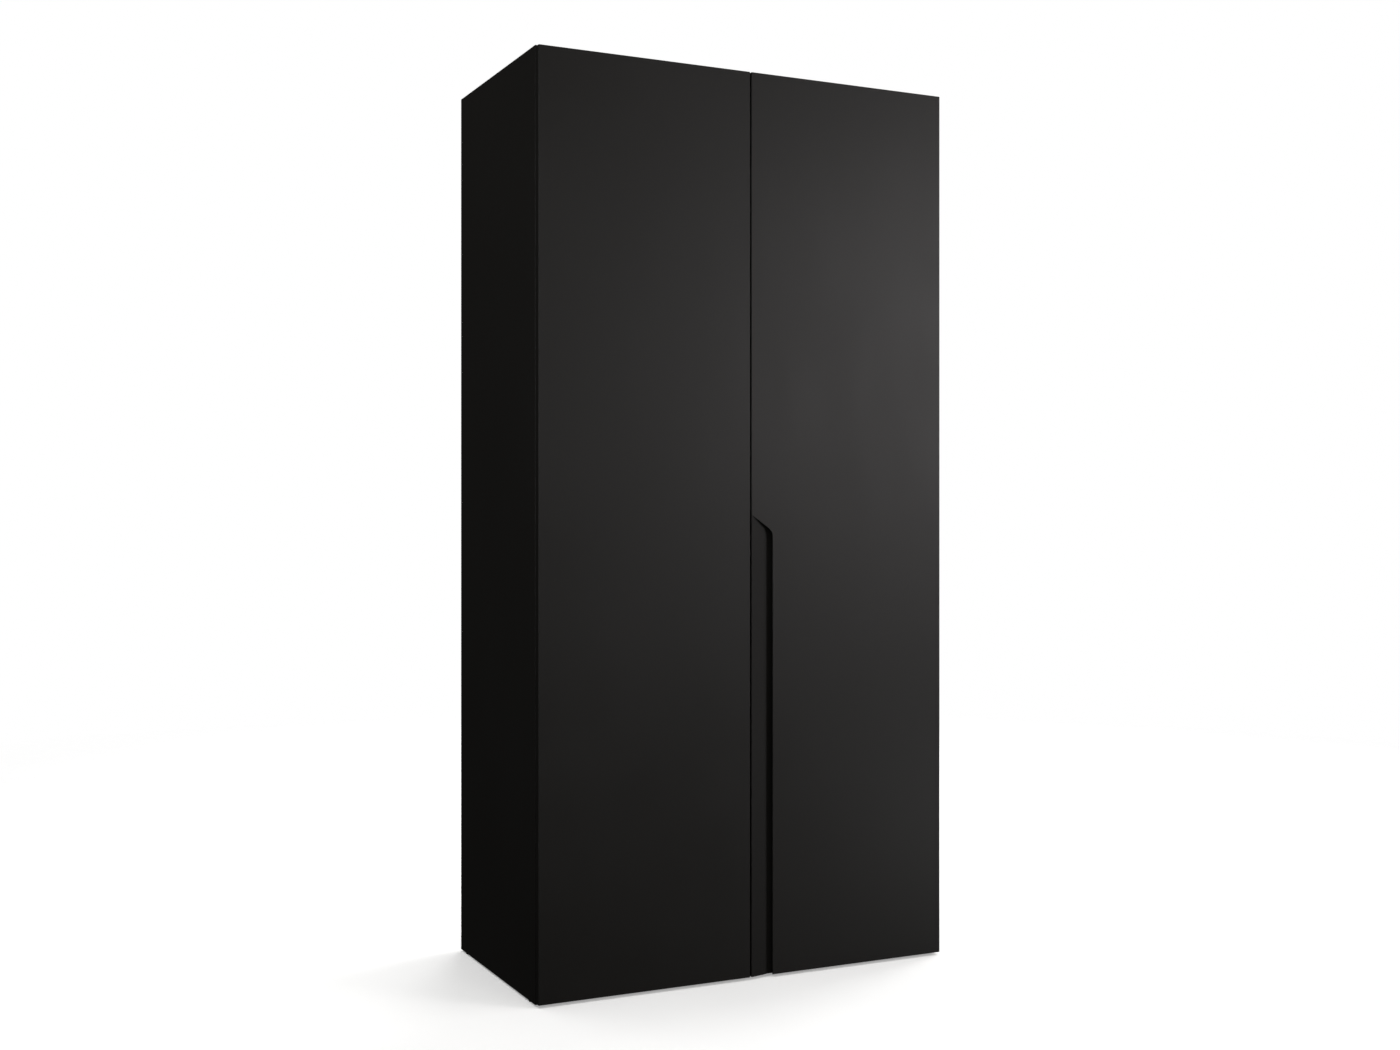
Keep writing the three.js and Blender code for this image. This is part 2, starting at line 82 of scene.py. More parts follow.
class Shader:
    """A node tree with one Principled shader and short helpers for procedural detail."""

    def __init__(self, name, **sockets):
        self.material = bpy.data.materials.new(name)
        self.material.use_nodes = True
        self.tree = self.material.node_tree
        self.bsdf = self.tree.nodes["Principled BSDF"]
        self.place = self.tree.nodes.new("ShaderNodeTexCoord").outputs["Object"]
        for socket, value in sockets.items():
            self.bsdf.inputs[socket.replace("_", " ")].default_value = value

    def node(self, kind, **values):
        made = self.tree.nodes.new(kind)
        for key, value in values.items():
            setattr(made, key, value)
        return made

    def link(self, source, target):
        self.tree.links.new(source, target)

    def stretched(self, scale):
        """The object's own coordinates, scaled along each axis."""
        mapping = self.node("ShaderNodeMapping")
        mapping.inputs["Scale"].default_value = scale
        self.link(self.place, mapping.inputs["Vector"])
        return mapping.outputs["Vector"]

    def noise(self, scale, detail=3.0, roughness=0.5, vector=None, distortion=0.0):
        texture = self.node("ShaderNodeTexNoise")
        texture.inputs["Scale"].default_value = scale
        texture.inputs["Detail"].default_value = detail
        texture.inputs["Roughness"].default_value = roughness
        texture.inputs["Distortion"].default_value = distortion
        self.link(vector or self.place, texture.inputs["Vector"])
        return texture.outputs["Fac"]

    def cells(self, scale, vector=None):
        texture = self.node("ShaderNodeTexVoronoi")
        texture.inputs["Scale"].default_value = scale
        self.link(vector or self.place, texture.inputs["Vector"])
        return texture.outputs["Distance"]

    def spread(self, value, low, high, from_low=0.3, from_high=0.7):
        """A value's middle range stretched to run from low to high."""
        ramp = self.node("ShaderNodeMapRange")
        set_range(ramp, from_low, from_high, low, high)
        self.link(value, ramp.inputs["Value"])
        return ramp.outputs["Result"]

    def maths(self, operation, a, b):
        made = self.node("ShaderNodeMath", operation=operation)
        for socket, value in zip(made.inputs, (a, b)):
            if isinstance(value, (int, float)):
                socket.default_value = value
            else:
                self.link(value, socket)
        return made.outputs["Value"]

    def mix(self, factor, first, second):
        made = self.node("ShaderNodeMix", data_type="RGBA")
        self.link(factor, made.inputs["Factor"])
        for socket, value in (("A", first), ("B", second)):
            target = next(i for i in made.inputs if i.name == socket and i.type == "RGBA")
            if isinstance(value, tuple):
                target.default_value = (*value, 1.0)
            else:
                self.link(value, target)
        return next(o for o in made.outputs if o.type == "RGBA")

    def colour(self, output):
        self.link(output, self.bsdf.inputs["Base Color"])

    def roughness(self, output):
        self.link(output, self.bsdf.inputs["Roughness"])

    def bump(self, *layers):
        """Layers are (height output, strength, depth in metres), the first one lowest."""
        normal = None
        for height, strength, depth in layers:
            made = self.node("ShaderNodeBump")
            made.inputs["Strength"].default_value = strength
            made.inputs["Distance"].default_value = depth
            self.link(height, made.inputs["Height"])
            if normal is not None:
                self.link(normal, made.inputs["Normal"])
            normal = made.outputs["Normal"]
        self.link(normal, self.bsdf.inputs["Normal"])


def coated(name, dark, light, roughness, grain, grain_depth, level=0.42):
    """A black coated surface: a faint cloud of tone and gloss, over a fine even grain."""
    s = Shader(name, Specular_IOR_Level=level)
    cloud = s.noise(2.4, 4.0, 0.55)
    wiped = s.noise(14.0, 3.0, 0.6, s.stretched((1.0, 1.0, 0.25)))
    pearl = s.cells(grain)
    s.colour(s.mix(s.spread(cloud, 0.0, 1.0), dark, light))
    base = s.maths("ADD", s.spread(cloud, roughness - 0.02, roughness + 0.02), s.spread(wiped, -0.012, 0.012))
    s.roughness(s.maths("ADD", base, s.spread(pearl, -0.02, 0.03, 0.1, 0.7)))
    s.bump((s.noise(150.0, 2.0), 0.04, 0.0002), (pearl, 0.12, grain_depth))
    return s.material


def linen_print(name, dark, light, roughness):
    """Charcoal decor paper printed and pressed like linen: threads both ways, thick and thin."""
    s = Shader(name, Specular_IOR_Level=0.35)
    cloud = s.noise(3.0, 4.0, 0.6)
    threads = []
    for lengthwise in ((1.0, 1.0, 0.03), (1.0, 0.03, 1.0), (0.03, 1.0, 1.0)):
        threads.append(s.noise(520.0, 3.0, 0.65, s.stretched(lengthwise)))
    weave = s.maths("MULTIPLY", s.maths("ADD", s.maths("ADD", threads[0], threads[1]), threads[2]), 1.0 / 3.0)
    tone = s.maths("ADD", s.spread(weave, 0.0, 0.8, 0.40, 0.60), s.spread(cloud, 0.0, 0.2))
    s.colour(s.mix(tone, dark, light))
    s.roughness(s.spread(weave, roughness + 0.06, roughness - 0.06, 0.42, 0.58))
    s.bump((weave, 0.35, 0.00012))
    return s.material


def chip_core():
    """Cut particle board, as seen in the holes."""
    s = Shader("chip_core", Roughness=0.9, Specular_IOR_Level=0.2)
    chips = s.cells(420.0, s.stretched((1.0, 1.0, 0.4)))
    s.colour(s.mix(s.spread(chips, 0.0, 1.0, 0.1, 0.8), (0.16, 0.095, 0.05), (0.42, 0.30, 0.18)))
    s.bump((chips, 0.5, 0.0004))
    return s.material


def hardboard():
    """Raw pressed-fibre back: brown, mottled, with short fibres lying every way."""
    s = Shader("hardboard", Roughness=0.78, Specular_IOR_Level=0.3)
    mottle = s.noise(5.0, 6.0, 0.65)
    fleck = s.noise(70.0, 5.0, 0.75, s.stretched((1.0, 1.0, 0.5)), 1.2)
    fibre = s.noise(420.0, 4.0, 0.7, s.stretched((1.0, 1.0, 0.35)), 2.0)
    fine = s.maths("ADD", s.maths("MULTIPLY", fleck, 0.40), s.maths("MULTIPLY", fibre, 0.40))
    blend = s.maths("ADD", s.maths("MULTIPLY", mottle, 0.20), fine)
    s.colour(s.mix(s.spread(blend, 0.0, 1.0, 0.36, 0.64), (0.105, 0.060, 0.033), (0.245, 0.158, 0.094)))
    s.roughness(s.spread(fibre, 0.68, 0.88))
    s.bump((mottle, 0.1, 0.0006), (fibre, 0.35, 0.00015))
    return s.material


def pressed_steel(name, base, roughness, brushed):
    """Plated sheet steel: fine drawing lines, tiny pits and a patchy sheen."""
    s = Shader(name, Metallic=1.0)
    patch = s.noise(60.0, 4.0, 0.6)
    lines = s.noise(700.0, 2.0, 0.6, s.stretched(brushed))
    dark = tuple(channel * 0.82 for channel in base)
    s.colour(s.mix(s.spread(patch, 0.0, 1.0), dark, base))
    base_gloss = s.spread(patch, roughness - 0.05, roughness + 0.07)
    s.roughness(s.maths("ADD", base_gloss, s.spread(lines, -0.03, 0.03)))
    s.bump((lines, 0.12, 0.00004), (s.cells(900.0), 0.08, 0.00004))
    return s.material


def chrome():
    s = Shader("chrome", Metallic=1.0)
    haze = s.noise(18.0, 4.0, 0.6)
    rubs = s.noise(420.0, 2.0, 0.7, s.stretched((0.03, 1.0, 1.0)))
    s.colour(s.mix(s.spread(haze, 0.0, 1.0), (0.80, 0.81, 0.83), (0.90, 0.91, 0.93)))
    s.roughness(s.maths("ADD", s.spread(haze, 0.09, 0.16), s.spread(rubs, -0.02, 0.05)))
    s.bump((rubs, 0.05, 0.00003))
    return s.material


def moulded(name, dark, light, roughness):
    """Injection-moulded plastic with a fine spark-eroded texture."""
    s = Shader(name, Specular_IOR_Level=0.45)
    tone = s.noise(35.0, 3.0)
    spark = s.noise(1300.0, 2.0, 0.7)
    s.colour(s.mix(s.spread(tone, 0.0, 1.0), dark, light))
    s.roughness(s.spread(spark, roughness - 0.06, roughness + 0.06))
    s.bump((spark, 0.25, 0.00006))
    return s.material


# Coatings: dark and light tone, roughness, grain cells per metre and grain depth in metres
LACQUER = coated("door_lacquer", (0.0072, 0.0067, 0.0060), (0.0092, 0.0087, 0.0081), 0.465, 1000.0, 0.00004)
# The grip's lacquer is rougher and less glossy, as milled faces are. Its colour is darker than the door's to
# paint the shade that falls in the grip's hollow.
MILLED_MATT_AND_SHADE = coated(
    "milled_lacquer_and_painted_shade", (0.0060, 0.0056, 0.0050), (0.0078, 0.0073, 0.0068), 0.56, 1000.0, 0.00005, level=0.29
)
MELAMINE = coated("body_melamine", (0.0066, 0.0061, 0.0054), (0.0084, 0.0079, 0.0072), 0.49, 1200.0, 0.00005)
INSIDE = linen_print("inside_melamine", (0.080, 0.077, 0.073), (0.135, 0.130, 0.124), 0.55)
EDGING = coated("edge_band", (0.0066, 0.0061, 0.0055), (0.0080, 0.0075, 0.0070), 0.41, 1600.0, 0.00002)
BACK_PRINT = linen_print("back_print", (0.072, 0.069, 0.066), (0.122, 0.118, 0.112), 0.66)
CORE = chip_core()
HARDBOARD = hardboard()
NICKEL = pressed_steel("nickel_steel", (0.78, 0.755, 0.72), 0.30, (1.0, 0.06, 1.0))
ZINC = pressed_steel("zinc_screw", (0.74, 0.74, 0.73), 0.36, (1.0, 1.0, 1.0))
CHROME = chrome()
PLASTIC = moulded("black_plastic", (0.010, 0.010, 0.010), (0.015, 0.015, 0.0145), 0.48)
BUMPER = moulded("bumper_felt", (0.030, 0.030, 0.029), (0.044, 0.044, 0.042), 0.85)


# ---------------------------------------------------------------------------------------------
# Mesh helpers


def add_object(name, bm, *materials):
    mesh = bpy.data.meshes.new(name)
    bm.to_mesh(mesh)
    bm.free()
    for material in materials:
        mesh.materials.append(material)
    made = bpy.data.objects.new(name, mesh)
    bpy.context.scene.collection.objects.link(made)
    return made


def carve(target, cutter, operation="DIFFERENCE"):
    """Cuts target with cutter for good, and removes the cutter."""
    cut = target.modifiers.new("cut", "BOOLEAN")
    cut.operation = operation
    cut.solver = "EXACT"
    cut.material_mode = "TRANSFER"
    cut.object = cutter
    view = bpy.context.evaluated_depsgraph_get()
    carved = bpy.data.meshes.new_from_object(target.evaluated_get(view))
    target.modifiers.clear()
    worn, spent = target.data, cutter.data
    target.data = carved
    bpy.data.objects.remove(cutter)
    bpy.data.meshes.remove(worn)
    bpy.data.meshes.remove(spent)
    carved.name = target.name


SHARP_ANGLE = 32.0  # degrees; edges turned more than this stay sharp in shading


def smooth(piece):
    """Rounds shading across soft edges and keeps large flat faces flat."""
    piece.data.polygons.foreach_set("use_smooth", [True] * len(piece.data.polygons))
    piece.data.set_sharp_from_angle(angle=math.radians(SHARP_ANGLE))
    weighted = piece.modifiers.new("flat_faces", "WEIGHTED_NORMAL")
    weighted.keep_sharp = True
    weighted.weight = 90


def settle(piece, body, slot, *nodes):
    """Says what the piece moves with and which CAD nodes it stands for, and hides those; slot, the finish, is
    not used.
    """
    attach(piece, body)
    if nodes:
        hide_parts(*nodes)
    return piece


def bevel_edges(bm, width, segments=3, angle=30.0):
    sharp = [e for e in bm.edges if e.is_manifold and e.calc_face_angle(0.0) > math.radians(angle)]
    bmesh.ops.bevel(
        bm, geom=sharp, offset=width, offset_type="OFFSET", segments=segments, profile=0.5,
        affect="EDGES", clamp_overlap=True,
    )


def box_mesh(low, high, bevel=0.0, segments=3):
    bm = bmesh.new()
    bmesh.ops.create_cube(bm, size=1.0)
    low, high = Vector(low), Vector(high)
    for vertex in bm.verts:
        vertex.co = Vector(low[i] + (high[i] - low[i]) * (vertex.co[i] + 0.5) for i in range(3))
    if bevel:
        bevel_edges(bm, bevel, segments)
    return bm


def node_mesh(name):
    """A CAD node's shape with its flat faces whole again."""
    bm = bmesh.new()
    bm.from_mesh(NODES[name].data)
    bmesh.ops.remove_doubles(bm, verts=bm.verts, dist=1e-6)
    bmesh.ops.dissolve_limit(bm, angle_limit=math.radians(0.5), verts=bm.verts, edges=bm.edges)
    return bm


def turned(profile, sides=32):
    """A closed body turned about +Z from [radius, z] points that start and end on the axis."""
    bm = bmesh.new()
    rings = []
    for radius, z in profile:
        if radius < 1e-9:
            rings.append([bm.verts.new((0.0, 0.0, z))])
            continue
        turns = [2.0 * math.pi * i / sides for i in range(sides)]
        rings.append([bm.verts.new((radius * math.cos(t), radius * math.sin(t), z)) for t in turns])
    for lower, upper in zip(rings, rings[1:]):
        for i in range(sides):
            corners = [lower[i % len(lower)], lower[(i + 1) % len(lower)]]
            corners += [upper[(i + 1) % len(upper)], upper[i % len(upper)]]
            whole = list(dict.fromkeys(corners))
            bm.faces.new(whole)
    bmesh.ops.recalc_face_normals(bm, faces=bm.faces)
    return bm


def loft(rings):
    """A closed body through rings of equal length, capped at both ends."""
    bm = bmesh.new()
    loops = [[bm.verts.new(point) for point in ring] for ring in rings]
    for lower, upper in zip(loops, loops[1:]):
        for i, corner in enumerate(lower):
            after = (i + 1) % len(lower)
            bm.faces.new((corner, lower[after], upper[after], upper[i]))
    bm.faces.new(list(reversed(loops[0])))
    bm.faces.new(loops[-1])
    bmesh.ops.recalc_face_normals(bm, faces=bm.faces)
    return bm


def prism(points, span, along="Z"):
    """A straight body along one axis; its outline is (X, Y) for Z, (X, Z) for Y and (Y, Z) for X."""
    if along == "X":
        rings = [[(c, a, b) for a, b in points] for c in span]
    elif along == "Y":
        rings = [[(a, c, b) for a, b in points] for c in span]
    else:
        rings = [[(a, b, c) for a, b in points] for c in span]
    return loft(rings)


def in_mm(points):
    return [tuple(number * MM for number in point) for point in points]


def rounded(corners, steps=5):
    """An outline from (a, b, radius) corners, each turned by an arc."""
    points = []
    for i, (a, b, radius) in enumerate(corners):
        here = Vector((a, b))
        if not radius:
            points.append((a, b))
            continue
        back = (Vector(corners[i - 1][:2]) - here).normalized()
        ahead = (Vector(corners[(i + 1) % len(corners)][:2]) - here).normalized()
        half = back.angle(ahead) / 2.0
        middle = here + (back + ahead).normalized() * radius / math.sin(half)
        first = here + back * radius / math.tan(half)
        last = here + ahead * radius / math.tan(half)
        for step in range(steps + 1):
            spoke = first.lerp(last, step / steps) - middle
            points.append(tuple(middle + spoke.normalized() * radius))
    return points


def circle(a, b, radius, steps=32):
    turns = [2.0 * math.pi * i / steps for i in range(steps)]
    return [(a + radius * math.cos(turn), b + radius * math.sin(turn)) for turn in turns]


def joined(parts):
    """One mesh of several (mesh, place) pairs; the meshes are used up."""
    whole = bmesh.new()
    scratch = bpy.data.meshes.new("scratch")
    for part, place in parts:
        copy = part.copy()
        copy.transform(place)
        if place.determinant() < 0.0:
            bmesh.ops.reverse_faces(copy, faces=copy.faces)
        copy.to_mesh(scratch)
        copy.free()
        whole.from_mesh(scratch)
    bpy.data.meshes.remove(scratch)
    return whole


def facing(direction, place, scale=1.0):
    """Turns +Z to a direction and moves to a place."""
    turn = Vector(direction).to_track_quat("Z", "Y").to_matrix().to_4x4()
    return Matrix.Translation(place) @ turn @ Matrix.Scale(scale, 4)


def stadium(width, length, a=0.0, b=0.0, steps=16):
    """Points round a slot shape centred on (a, b), longest along the second axis."""
    radius = width / 2.0
    reach = length / 2.0 - radius
    points = []
    for end, first in ((reach, 0.0), (-reach, math.pi)):
        for i in range(steps + 1):
            turn = first + math.pi * i / steps
            points.append((a + radius * math.cos(turn), b + end + radius * math.sin(turn)))
    return points


def soften(piece, width):
    """Rounds a fitting's sharp edges."""
    round_off = piece.modifiers.new("rounding", "BEVEL")
    round_off.limit_method = "ANGLE"
    round_off.angle_limit = math.radians(35.0)
    round_off.width = width
    round_off.segments = 2
    return piece


def spent(piece):
    """Takes a finished pattern out of the scene and gives its mesh."""
    view = bpy.context.evaluated_depsgraph_get()
    mesh = bpy.data.meshes.new_from_object(piece.evaluated_get(view))
    worn = piece.data
    bpy.data.objects.remove(piece)
    bpy.data.meshes.remove(worn)
    return mesh


def copies(name, mesh, places, body, slot, *nodes):
    """One piece made of a pattern mesh set in several places."""
    bm = bmesh.new()
    bm.from_mesh(mesh)
    piece = add_object(name, joined([(bm, place) for place in places]), *mesh.materials)
    bm.free()
    smooth(piece)
    return settle(piece, body, slot, *nodes)


# ---------------------------------------------------------------------------------------------
# Boards

BOARD_ROUND = 0.5 * MM
PIN_RADIUS = 2.5 * MM
PIN_HOLE_DEPTH = 11.0 * MM
PIN_PITCH = 32.0 * MM
PIN_SETBACK = 37.0 * MM
PIN_HOLE_SIDES = 24


def blind_hole(radius, depth, sides):
    """A drill's shape along +Z, reaching a little past the surface at z = 0."""
    return turned([(0.0, -depth), (radius, -depth), (radius, MM), (0.0, MM)], sides)


def pin_columns(shelf):
    """The two depths at which a shelf is held."""
    low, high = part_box(shelf)
    return low.y + PIN_SETBACK, high.y - PIN_SETBACK


def pin_holes(side, face_x, inward):
    """Cutters for three holes above each other at every shelf support on one upright face."""
    hole = blind_hole(PIN_RADIUS, PIN_HOLE_DEPTH, PIN_HOLE_SIDES)
    parts = []
    for shelf in SHELVES[side]:
        pin_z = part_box(shelf)[0].z - PIN_RADIUS
        for y in pin_columns(shelf):
            for step in (-1, 0, 1):
                parts.append((hole, facing((inward, 0.0, 0.0), (face_x, y, pin_z + step * PIN_PITCH))))
    return add_object("holes", joined(parts), CORE)


def board(name, thin_axis, room_sides, cuts=()):
    """A CAD board with rounded edging; its faces across thin_axis are coated, black or as inside."""
    bm = node_mesh(name)
    bevel_edges(bm, BOARD_ROUND)
    for face in bm.faces:
        across = face.normal[thin_axis]
        if abs(across) < 0.99:
            face.material_index = 2
        elif round(across) in room_sides:
            face.material_index = 1
    piece = add_object(name + "_board", bm, MELAMINE, INSIDE, EDGING)
    for cutter in cuts:
        carve(piece, cutter)
    smooth(piece)
    return settle(piece, "carcass", "body_board", name)


def make_boards():
    inner_x = body_high.x
    board("left_side_panel", 0, (1,), [pin_holes("left", inner_x, 1.0)])
    board("right_side_panel", 0, (-1,), [pin_holes("right", -inner_x, -1.0)])
    divider_cuts = [pin_holes("left", divider_low.x, -1.0), pin_holes("right", divider_high.x, 1.0)]
    board("divider_panel", 0, (-1, 1), divider_cuts)
    board("top_panel", 2, (-1,))
    board("bottom_panel", 2, (1,))
    board("plinth_front", 1, ())
    board("plinth_back", 1, ())
    for shelf in SHELVES["left"] + SHELVES["right"]:
        board(shelf, 2, (-1, 1))


def make_back():
    for name in ("back_panel_left", "back_panel_right"):
        bm = node_mesh(name)
        for face in bm.faces:
            face.material_index = 1 if face.normal.y < -0.9 else 0
        piece = add_object(name + "_sheet", bm, HARDBOARD, BACK_PRINT)
        smooth(piece)
        settle(piece, "carcass", "back_board", name)


# ---------------------------------------------------------------------------------------------
# Doors and the milled grip

DOOR_ROUND = 0.8 * MM
DOOR_ROUND_STEPS = 4
BORE_RADIUS = 17.8 * MM
BORE_DEPTH = 12.0 * MM
BORE_SIDES = 64
CUP_INSET = 22.0 * MM  # door edge to the middle of a hinge cup

GRIP_WIDTH = 53.0 * MM
GRIP_CORNER_HEIGHT = 993.8 * MM
GRIP_SLOPE = 0.69
GRIP_CORNER_RADIUS = 25.0 * MM
GRIP_EDGE_DEPTH = 0.4 * MM
GRIP_RAMP = (33.0 * MM, 7.6 * MM)  # width and depth where the straight ramp starts to dip
GRIP_FLOOR = (47.0 * MM, 12.6 * MM)  # where the dip meets the flat floor
GRIP_DIP_STEPS = 12
GRIP_CORNER_STEPS = 20
PAST = 5.0 * MM  # how far cutters reach past the door

# How far the grip's wall stands back from its outline at each depth: a rounded lip, then the undercut.
GRIP_WALL = [
    (-2.0, 0.75), (0.0, 0.72), (0.08, 0.46), (0.25, 0.22), (0.5, 0.06), (0.8, 0.0),
    (2.3, 0.0), (2.7, 0.1), (2.92, 0.35), (3.0, 0.8), (3.0, 5.2), (3.25, 6.1), (3.9, 6.8), (4.8, 7.0),
    (11.2, 7.0), (12.1, 6.7), (12.5, 6.0), (12.6, 5.2), (13.2, 5.2),
]


def grip_ring(depth, grow):
    """The grip's outline on the door front, grown outwards, at one depth below the front."""
    slant = math.atan(GRIP_SLOPE)
    facing_angle = math.pi / 2.0 - slant
    tangent = GRIP_CORNER_RADIUS / math.tan((math.pi / 2.0 + slant) / 2.0)
    centre_x, centre_z = GRIP_WIDTH - GRIP_CORNER_RADIUS, GRIP_CORNER_HEIGHT - tangent
    radius = GRIP_CORNER_RADIUS + grow
    low = door_low.z - PAST
    outline = [(-PAST, low), (centre_x + radius, low)]
    for i in range(GRIP_CORNER_STEPS + 1):
        turn = facing_angle * i / GRIP_CORNER_STEPS
        outline.append((centre_x + radius * math.cos(turn), centre_z + radius * math.sin(turn)))
    end_x, end_z = outline[-1]
    outline.append((-PAST, end_z + (end_x + PAST) * GRIP_SLOPE))
    edge = -door_high.x
    return [(edge + u, door_low.y + depth, z) for u, z in outline]


def grip_cutter():
    # The grip's faces take the milled lacquer: rougher and less glossy, and darker in colour as painted shade
    # in the hollow.
    pocket = add_object("grip_cutter", loft([grip_ring(w * MM, g * MM) for w, g in GRIP_WALL]), MILLED_MATT_AND_SHADE)
    edge = -door_high.x
    far = GRIP_WIDTH + 20.0 * MM
    rise = (GRIP_RAMP[1] - GRIP_EDGE_DEPTH) / GRIP_RAMP[0]
    run, drop = GRIP_FLOOR[0] - GRIP_RAMP[0], GRIP_FLOOR[1] - GRIP_RAMP[1]
    ramp = [(-PAST, -4.0 * MM), (far, -4.0 * MM), (far, GRIP_FLOOR[1])]
    # The dip leaves the ramp at the ramp's own slope and steepens evenly to the floor.
    for step in range(GRIP_DIP_STEPS, -1, -1):
        t = step / GRIP_DIP_STEPS
        ramp.append((GRIP_RAMP[0] + run * t, GRIP_RAMP[1] + rise * run * t + (drop - rise * run) * t * t))
    ramp.append((-PAST, GRIP_EDGE_DEPTH - PAST * rise))
    heights = (door_low.z - 3.0 * PAST, GRIP_CORNER_HEIGHT + 0.1)
    under = loft([[(edge + u, door_low.y + w, z) for u, w in ramp] for z in heights])
    carve(pocket, add_object("ramp_cutter", under, MILLED_MATT_AND_SHADE), "INTERSECT")
    return pocket


def bore_cutter(side, hand):
    bore = blind_hole(BORE_RADIUS, BORE_DEPTH, BORE_SIDES)
    centre_x = hand * (door_low.x + CUP_INSET)
    parts = []
    for index in range(1, 5):
        low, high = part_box(f"{side}_hinge_cup_{index}")
        parts.append((bore, facing((0.0, 1.0, 0.0), (centre_x, door_high.y, (low.z + high.z) / 2.0))))
    return add_object("bores", joined(parts), CORE)


def make_door(side, hand):
    name = side + "_door"
    low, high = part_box(name)
    bm = box_mesh(low, high, DOOR_ROUND, DOOR_ROUND_STEPS)
    bm.normal_update()
    for face in bm.faces:
        if face.normal.y > 0.99:
            face.material_index = 1
    door = add_object(name + "_board", bm, LACQUER, INSIDE)
    if side == "right":
        carve(door, grip_cutter())
    carve(door, bore_cutter(side, hand))
    smooth(door)
    settle(door, name, "door_board", name)


# ---------------------------------------------------------------------------------------------
# Small fittings, drawn in millimetres standing on the surface at z = 0


def turned_pattern(name, profile, sides, material):
    return spent(add_object(name, turned(in_mm(profile), sides), material))


def screw_pattern():
    """Pan head with a cross recess that narrows downwards."""

    def cross(reach, half, z):
        points = []
        for quarter in range(4):
            turn = Matrix.Rotation(quarter * math.pi / 2.0, 2)
            corners = ((reach, -half), (reach, half), (half, half))
            points += [(*(turn @ Vector(corner)), z) for corner in corners]
        return in_mm(points)

    profile = [
        (0.0, -0.6), (3.7, -0.6), (4.0, -0.3), (4.0, 0.5), (3.75, 0.95), (3.1, 1.35), (2.0, 1.62), (0.0, 1.7),
    ]
    head = add_object("screw", turned(in_mm(profile), 28), ZINC)
    carve(head, add_object("recess", loft([cross(1.1, 0.28, 0.2), cross(2.5, 0.5, 2.0)]), ZINC))
    return spent(head)


SCREW = screw_pattern()
SHELF_PIN = turned_pattern(
    "shelf_pin",
    [(0.0, -9.0), (1.9, -9.0), (2.4, -8.5), (2.4, 0.0), (3.2, 0.0), (3.4, 0.2), (3.4, 0.7), (3.2, 0.9),
     (2.45, 0.9), (2.45, 7.4), (2.3, 7.9), (1.9, 8.2), (0.0, 8.2)],
    24, NICKEL,
)
CAM_CAP = turned_pattern(
    "cam_cap",
    [(0.0, -0.4), (8.7, -0.4), (8.9, 0.0), (8.9, 0.4), (8.6, 0.75), (7.8, 0.9), (3.0, 0.9), (2.4, 0.75),
     (1.2, 0.4), (0.0, 0.35)],
    40, PLASTIC,
)
DOOR_BUMPER = turned_pattern(
    "door_bumper",
    [(0.0, -0.1), (3.8, -0.1), (4.0, 0.2), (4.0, 1.1), (3.75, 1.5), (3.1, 1.72), (0.0, 1.8)],
    32, BUMPER,
)
BACK_NAIL = turned_pattern(
    "back_nail",
    [(0.0, -0.3), (1.8, -0.3), (1.9, 0.0), (1.8, 0.25), (1.2, 0.5), (0.0, 0.6)],
    16, ZINC,
)
GLIDE = turned_pattern(
    "glide",
    [(0.0, 1.1), (2.3, 1.1), (2.5, 0.3), (3.0, 0.0), (6.2, 0.0), (7.0, 0.35), (7.5, 1.2), (7.5, 3.0),
     (0.0, 3.0)],
    40, PLASTIC,
)

CAM_INSET = 34.0 * MM  # end of a board to the middle of its cam fitting
BUMPER_INSET = 30.0 * MM
NAIL_PITCH = 93.0 * MM
NAIL_START = 0.25  # pitches from the middle to the first nail
NAIL_INSET = 8.0 * MM
STRIP_NAILS = 6
STRIP_NAIL_SCALE = 1.6
GLIDE_NAIL_DEPTH = 1.1 * MM

DOWN, REARWARDS = (0.0, 0.0, -1.0), (0.0, 1.0, 0.0)
LEFT, RIGHT = (-1.0, 0.0, 0.0), (1.0, 0.0, 0.0)


def make_shelf_pins():
    bays = {"left": (body_high.x, divider_low.x), "right": (divider_high.x, -body_high.x)}
    for side, (low_face, high_face) in bays.items():
        for shelf in SHELVES[side]:
            pin_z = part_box(shelf)[0].z - PIN_RADIUS
            places = []
            for y in pin_columns(shelf):
                places.append(facing(RIGHT, (low_face, y, pin_z)))
                places.append(facing(LEFT, (high_face, y, pin_z)))
            copies(shelf + "_pins", SHELF_PIN, places, "carcass", "hinge_steel")


def make_cam_caps():
    """Caps over the cam fittings that hold top, bottom and divider."""
    depths = pin_columns("hat_shelf")
    under_top, under_floor, on_divider = [], [], []
    for y in depths:
        for x in (top_low.x + CAM_INSET, top_high.x - CAM_INSET):
            under_top.append(facing(DOWN, (x, y, top_low.z)))
            under_floor.append(facing(DOWN, (x, y, floor_low.z)))
        for z in (divider_low.z + CAM_INSET, divider_high.z - CAM_INSET):
            on_divider.append(facing(RIGHT, (divider_high.x, y, z)))
    copies("top_cam_caps", CAM_CAP, under_top, "carcass", "black_plastic")
    copies("floor_cam_caps", CAM_CAP, under_floor, "carcass", "black_plastic")
    copies("divider_cam_caps", CAM_CAP, on_divider, "carcass", "black_plastic")


def make_bumpers():
    """Stop buttons on each door's inner face, against the front edges of floor and top."""
    for side, hand in SIDES.items():
        heights = ((floor_low.z + floor_high.z) / 2.0, top_low.z + (door_high.z - top_low.z) / 2.0)
        places = [facing(REARWARDS, (-hand * BUMPER_INSET, door_high.y, z)) for z in heights]
        copies(side + "_door_bumpers", DOOR_BUMPER, places, side + "_door", "black_plastic")


